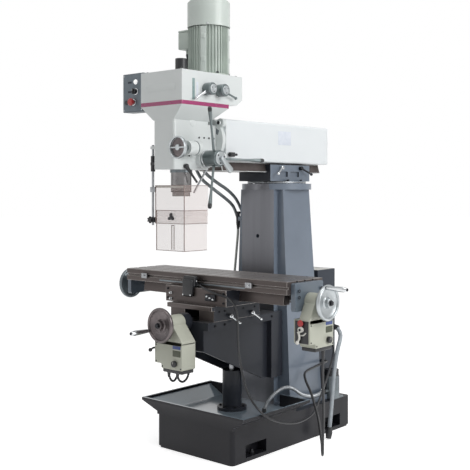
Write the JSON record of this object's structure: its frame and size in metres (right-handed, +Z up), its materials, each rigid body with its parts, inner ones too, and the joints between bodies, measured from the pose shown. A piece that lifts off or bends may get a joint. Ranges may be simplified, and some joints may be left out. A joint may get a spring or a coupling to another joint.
{
  "type": "milling and drilling machine",
  "caption": "Knee type milling and drilling machine: cast base with chip tray, tapered column, power fed table, swivelling ram, tilting geared head with quill and clear chuck guard.",
  "frame": {"origin": "on the floor, under the middle of the four anchor bolts; the column way face is the plane Y = 0", "axes": "+Z up; +X to the right of the operator, along the table; +Y away from the operator, so the spindle stands at -Y"},
  "size_m": [1.5223, 1.3563, 2.306],
  "materials": {
    "base_paint": "satin",
    "column_paint": "satin",
    "knee_paint": "satin",
    "cabinet_paint": "satin",
    "bracket_paint": "satin",
    "head_paint": "gloss",
    "motor_paint": "satin",
    "panel_paint": "satin",
    "ground_iron": "ground",
    "steel": "brushed",
    "bright_steel": "polished",
    "aluminium_cast": "cast",
    "bronze": "machined",
    "black_plastic": "moulded",
    "unit_plastic": "moulded",
    "pale_plastic": "moulded",
    "red_plastic": "moulded",
    "clear_plastic": "clear",
    "black_rubber": "matt",
    "grey_rubber": "matt"
  },
  "bodies": {
    "frame": {"base_casting": "base_paint", "column_casting": "column_paint", "elevating_post": "column_paint", "coolant_pump": "black_plastic", "electrical_cabinet": "cabinet_paint", "base_cords": "grey_rubber"},
    "cabinet_door": {"cabinet_door": "cabinet_paint"},
    "knee": {"knee_casting": "knee_paint", "y_feed_unit": "unit_plastic", "y_feed_cables": "black_rubber"},
    "y_feed_lever": {"y_feed_lever": "black_plastic"},
    "y_speed_knob": {"y_speed_knob": "black_plastic"},
    "knee_crank": {"knee_crank": "steel"},
    "crank_grip": {"crank_grip": "black_plastic"},
    "elevating_screw": {"elevating_screw": "steel"},
    "cross_screw": {"y_screw": "steel", "y_handwheel": "steel"},
    "y_grip": {"y_grip": "black_plastic"},
    "saddle": {"saddle_casting": "ground_iron", "feed_nuts": "bronze", "limit_switch": "black_plastic", "switch_cable": "black_rubber"},
    "saddle_lock_front": {"saddle_lock_front": "bright_steel"},
    "saddle_lock_rear": {"saddle_lock_rear": "bright_steel"},
    "table": {"table_casting": "ground_iron", "table_stop_dogs": "steel", "table_end_brackets": "bracket_paint", "x_feed_unit": "unit_plastic", "x_feed_cable": "black_rubber"},
    "x_feed_lever": {"x_feed_lever": "pale_plastic"},
    "x_speed_knob": {"x_speed_knob": "black_plastic"},
    "x_rapid_button": {"x_rapid_button": "red_plastic"},
    "table_screw": {"x_screw": "steel", "x_handwheels": "aluminium_cast"},
    "x_grip": {"x_grip": "pale_plastic"},
    "turret": {"turret_block": "knee_paint"},
    "ram_lock_front": {"ram_lock_front": "bright_steel"},
    "ram_lock_rear": {"ram_lock_rear": "black_plastic"},
    "ram": {"ram_casting": "head_paint", "ram_end_cover": "head_paint"},
    "head": {"head_casting": "head_paint", "gear_housing": "head_paint", "motor_housing": "motor_paint", "motor_cowl": "motor_paint", "control_panel": "panel_paint", "power_conduits": "black_rubber"},
    "motor_rotor": {"motor_rotor": "steel"},
    "layshaft": {"layshaft": "steel"},
    "spindle_sleeve": {"spindle_sleeve": "steel"},
    "stop_button": {"stop_button": "red_plastic"},
    "selector_knob": {"selector_knob": "black_plastic"},
    "speed_lever_front": {"speed_lever_front": "bright_steel"},
    "speed_lever_rear": {"speed_lever_rear": "steel"},
    "fine_feed_wheel": {"fine_feed_wheel": "bright_steel"},
    "feed_handle": {"feed_handle": "bright_steel"},
    "quill": {"quill": "bright_steel"},
    "spindle": {"spindle": "steel"},
    "quill_lock_lever": {"quill_lock_lever": "black_plastic"},
    "guard_shield": {"guard_shield": "clear_plastic"},
    "guard_extension": {"guard_extension": "clear_plastic"}
  },
  "joints": [
    {"name": "door_swing", "type": "hinge", "parent": "frame", "child": "cabinet_door", "pos_m": [-0.181, 0.463, 0.55], "axis": [0, 0, 1], "range_deg": [0, 110]},
    {"name": "knee_lift", "type": "slide", "parent": "frame", "child": "knee", "axis": [0, 0, 1], "range_m": [-0.13, 0.24], "deforming": ["x_feed_cable", "switch_cable"]},
    {"name": "crank_turn", "type": "hinge", "parent": "knee", "child": "knee_crank", "pos_m": [-0.186, -0.21, 0.612], "axis": [1, 0, 0], "range_deg": [-23402, 43202]},
    {"name": "crank_grip_spin", "type": "hinge", "parent": "knee_crank", "child": "crank_grip", "pos_m": [-0.25, -0.1433, 0.5735], "axis": [1, 0, 0], "continuous": true},
    {"name": "lift_screw_turn", "type": "hinge", "parent": "knee", "child": "elevating_screw", "pos_m": [0, -0.21, 0.4], "axis": [0, 0, 1], "range_deg": [-9361, 17281]},
    {"name": "cross_screw_turn", "type": "hinge", "parent": "knee", "child": "cross_screw", "pos_m": [0, -0.6, 0.687], "axis": [0, 1, 0], "range_deg": [-7922, 9362]},
    {"name": "y_grip_spin", "type": "hinge", "parent": "cross_screw", "child": "y_grip", "pos_m": [-0.0698, -0.79, 0.6545], "axis": [0, 1, 0], "continuous": true},
    {"name": "saddle_slide", "type": "slide", "parent": "knee", "child": "saddle", "axis": [0, 1, 0], "range_m": [-0.11, 0.13], "deforming": ["x_feed_cable", "switch_cable"]},
    {"name": "y_lever_turn", "type": "hinge", "parent": "knee", "child": "y_feed_lever", "pos_m": [-0.091, -0.6403, 0.563], "axis": [1, 0, 0], "range_deg": [-30, 30]},
    {"name": "y_knob_turn", "type": "hinge", "parent": "knee", "child": "y_speed_knob", "pos_m": [0.062, -0.697, 0.503], "axis": [0, 1, 0], "range_deg": [0, 270]},
    {"name": "saddle_lock_front_turn", "type": "hinge", "parent": "saddle", "child": "saddle_lock_front", "pos_m": [0.165, -0.4, 0.712], "axis": [1, 0, 0], "range_deg": [-30, 60]},
    {"name": "saddle_lock_rear_turn", "type": "hinge", "parent": "saddle", "child": "saddle_lock_rear", "pos_m": [0.165, -0.235, 0.712], "axis": [1, 0, 0], "range_deg": [-30, 60]},
    {"name": "table_screw_turn", "type": "hinge", "parent": "table", "child": "table_screw", "pos_m": [0, -0.31, 0.813], "axis": [1, 0, 0], "range_deg": [-21602, 21602]},
    {"name": "x_grip_spin", "type": "hinge", "parent": "table_screw", "child": "x_grip", "pos_m": [0.75, -0.3363, 0.8854], "axis": [1, 0, 0], "continuous": true},
    {"name": "table_slide", "type": "slide", "parent": "saddle", "child": "table", "axis": [1, 0, 0], "range_m": [-0.3, 0.3], "deforming": ["x_feed_cable"]},
    {"name": "x_lever_turn", "type": "hinge", "parent": "table", "child": "x_feed_lever", "pos_m": [0.603, -0.401, 0.689], "axis": [0, 1, 0], "range_deg": [-30, 30]},
    {"name": "x_knob_turn", "type": "hinge", "parent": "table", "child": "x_speed_knob", "pos_m": [0.66, -0.248, 0.629], "axis": [1, 0, 0], "range_deg": [0, 270]},
    {"name": "x_rapid_press", "type": "slide", "parent": "table", "child": "x_rapid_button", "axis": [0, 1, 0], "range_m": [0, 0.004], "stiffness_N_per_m": 600},
    {"name": "turret_swivel", "type": "hinge", "parent": "frame", "child": "turret", "pos_m": [0, 0.165, 1.38], "axis": [0, 0, 1], "range_deg": [-90, 90], "deforming": ["power_conduits"]},
    {"name": "ram_lock_front_turn", "type": "hinge", "parent": "turret", "child": "ram_lock_front", "pos_m": [0.124, 0.062, 1.462], "axis": [1, 0, 0], "range_deg": [-40, 40]},
    {"name": "ram_lock_rear_turn", "type": "hinge", "parent": "turret", "child": "ram_lock_rear", "pos_m": [0.124, 0.232, 1.462], "axis": [1, 0, 0], "range_deg": [-40, 40]},
    {"name": "ram_slide", "type": "slide", "parent": "turret", "child": "ram", "axis": [0, 1, 0], "range_m": [-0.15, 0.35], "deforming": ["power_conduits"]},
    {"name": "head_tilt", "type": "hinge", "parent": "ram", "child": "head", "pos_m": [0, -0.39, 1.593], "axis": [0, -1, 0], "range_deg": [-45, 45], "deforming": ["power_conduits"]},
    {"name": "sleeve_spin", "type": "hinge", "parent": "head", "child": "spindle_sleeve", "pos_m": [0, -0.586, 1.78], "axis": [0, 0, 1], "continuous": true},
    {"name": "layshaft_spin", "type": "hinge", "parent": "head", "child": "layshaft", "pos_m": [0, -0.487, 1.78], "axis": [0, 0, 1], "continuous": true},
    {"name": "rotor_spin", "type": "hinge", "parent": "head", "child": "motor_rotor", "pos_m": [0, -0.388, 1.9], "axis": [0, 0, 1], "continuous": true},
    {"name": "feed_turn", "type": "hinge", "parent": "head", "child": "feed_handle", "pos_m": [0, -0.5074, 1.495], "axis": [1, 0, 0], "range_deg": [0, 242]},
    {"name": "quill_feed", "type": "slide", "parent": "head", "child": "quill", "axis": [0, 0, -1], "range_m": [0, 0.127]},
    {"name": "spindle_spin", "type": "hinge", "parent": "quill", "child": "spindle", "pos_m": [0, -0.586, 1.5], "axis": [0, 0, 1], "continuous": true},
    {"name": "fine_feed_turn", "type": "hinge", "parent": "head", "child": "fine_feed_wheel", "pos_m": [0.111, -0.65, 1.544], "axis": [0, 1, 0], "continuous": true},
    {"name": "quill_lock_turn", "type": "hinge", "parent": "head", "child": "quill_lock_lever", "pos_m": [0.082, -0.632, 1.457], "axis": [1, 0, 0], "range_deg": [-5, 40]},
    {"name": "speed_front_turn", "type": "hinge", "parent": "head", "child": "speed_lever_front", "pos_m": [0.143, -0.555, 1.832], "axis": [1, 0, 0], "range_deg": [-40, 40]},
    {"name": "speed_rear_turn", "type": "hinge", "parent": "head", "child": "speed_lever_rear", "pos_m": [0.143, -0.465, 1.832], "axis": [1, 0, 0], "range_deg": [-40, 40]},
    {"name": "stop_press", "type": "slide", "parent": "head", "child": "stop_button", "axis": [0, 1, 0], "range_m": [0, 0.005], "stiffness_N_per_m": 600},
    {"name": "selector_turn", "type": "hinge", "parent": "head", "child": "selector_knob", "pos_m": [-0.217, -0.7, 1.836], "axis": [0, -1, 0], "range_deg": [-60, 60]},
    {"name": "guard_swing", "type": "hinge", "parent": "head", "child": "guard_shield", "pos_m": [-0.124, -0.66, 1.27], "axis": [0, 0, -1], "range_deg": [0, 110]},
    {"name": "guard_raise", "type": "slide", "parent": "guard_shield", "child": "guard_extension", "axis": [0, 0, 1], "range_m": [0, 0.12]}
  ],
  "couplings": [
    {"joint": "crank_turn", "follows": "knee_lift", "rad_per_m": 3141.6},
    {"joint": "lift_screw_turn", "follows": "knee_lift", "rad_per_m": 1256.6},
    {"joint": "cross_screw_turn", "follows": "saddle_slide", "rad_per_m": 1256.6},
    {"joint": "table_screw_turn", "follows": "table_slide", "rad_per_m": 1256.6},
    {"joint": "layshaft_spin", "follows": "sleeve_spin", "ratio": -2},
    {"joint": "rotor_spin", "follows": "sleeve_spin", "ratio": 4},
    {"joint": "spindle_spin", "follows": "sleeve_spin", "ratio": 1},
    {"joint": "quill_feed", "follows": "feed_turn", "m_per_rad": 0.03}
  ]
}
